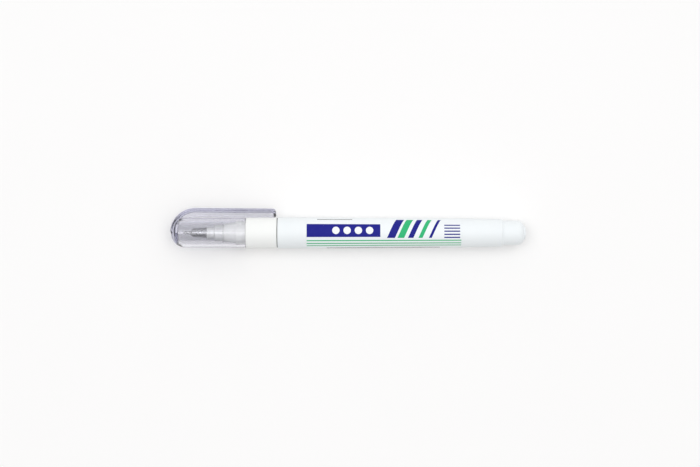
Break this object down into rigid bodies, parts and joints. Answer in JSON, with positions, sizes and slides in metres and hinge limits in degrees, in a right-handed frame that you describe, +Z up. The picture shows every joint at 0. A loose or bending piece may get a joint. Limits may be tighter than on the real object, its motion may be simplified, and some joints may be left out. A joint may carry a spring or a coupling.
{
  "type": "correction pen",
  "caption": "Slim correction pen with a clear clip cap, a metal needle-valve point, a white squeeze barrel with a printed wrap label, a loose mixing ball and a stepped tail.",
  "frame": {"origin": "centre of the pen's box in plan, on the surface that the pen lies on", "axes": "+X along the pen from cap to tail, +Y to the clip's side, +Z up"},
  "size_m": [0.14, 0.016, 0.0122],
  "materials": {
    "clear_cap_plastic": "clear moulded plastic with a slight lavender tint, polished",
    "soft_seal_rubber": "soft, satin",
    "white_collar_plastic": "moulded, warm white, semi-gloss",
    "gasket_rubber": "matt",
    "natural_holder_plastic": "moulded, natural white, satin",
    "turned_tip_metal": "turned, fine rings",
    "needle_steel": "ground",
    "plunger_plastic": "moulded, natural",
    "spring_steel": "drawn wire",
    "white_barrel_plastic": "moulded, cool white, semi-gloss",
    "label_film": "white film printed in navy and green, gloss",
    "ball_steel": "polished"
  },
  "bodies": {
    "pen_body": {"barrel": "white_barrel_plastic", "label": "label_film", "front_collar": "white_collar_plastic", "mouth_gasket": "gasket_rubber", "tip_holder": "natural_holder_plastic", "metal_tip": "turned_tip_metal", "needle_spring": "spring_steel", "spring_retainer": "plunger_plastic"},
    "cap_seal": {"tip_stopper": "soft_seal_rubber"},
    "cap": {"cap_shell": "clear_cap_plastic"},
    "valve": {"valve_needle": "needle_steel", "valve_plunger": "plunger_plastic"},
    "ball": {"mixing_ball": "ball_steel"}
  },
  "joints": [
    {"name": "cap_pull", "type": "slide", "parent": "pen_body", "child": "cap_seal", "axis": [-1, 0, 0], "range_m": [0, 0.045]},
    {"name": "cap_turn", "type": "hinge", "parent": "cap_seal", "child": "cap", "pos_m": [-0.04043, -0.00188, 0.0061], "axis": [1, 0, 0], "continuous": true},
    {"name": "needle_press", "type": "slide", "parent": "pen_body", "child": "valve", "axis": [1, 0, 0], "range_m": [0, 0.0004], "stiffness_N_per_m": 150, "deforming": ["needle_spring"]},
    {"name": "ball_slide", "type": "slide", "parent": "pen_body", "child": "ball", "axis": [1, 0, 0], "range_m": [-0.0755, 0]}
  ]
}
